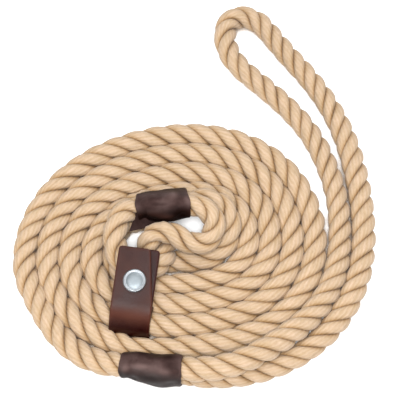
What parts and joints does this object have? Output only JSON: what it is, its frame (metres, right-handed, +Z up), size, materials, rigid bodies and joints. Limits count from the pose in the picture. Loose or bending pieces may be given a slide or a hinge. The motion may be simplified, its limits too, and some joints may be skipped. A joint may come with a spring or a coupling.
{
  "type": "training leash",
  "caption": "Three-strand rope slip lead lying coiled, with a handle loop, a noose through a small eye, leather whippings and a riveted leather stop.",
  "frame": {"origin": "on the surface that the lead lies on, under the middle of its overall box", "axes": "+Z up from the surface; +Y from the leather stop towards the handle loop's tip; +X towards the side that the handle loop lies on"},
  "size_m": [0.149, 0.1773, 0.0259],
  "materials": {
    "rope": "matt",
    "leather": "satin",
    "rivet": "polished"
  },
  "bodies": {
    "lead": {"rope_handle_loop": "rope", "rope_coil": "rope", "rope_noose": "rope", "rope_eye": "rope", "handle_whipping": "leather", "eye_whipping": "leather"},
    "stop": {"stop_strap": "leather", "rivet_cap": "rivet", "rivet_post": "rivet"}
  },
  "joints": [
    {"name": "stop_swing", "type": "hinge", "parent": "lead", "child": "stop", "pos_m": [-0.0254, -0.0597, 0.00665], "axis": [0.989, -0.1478, 0], "range_deg": [0, 65]}
  ]
}
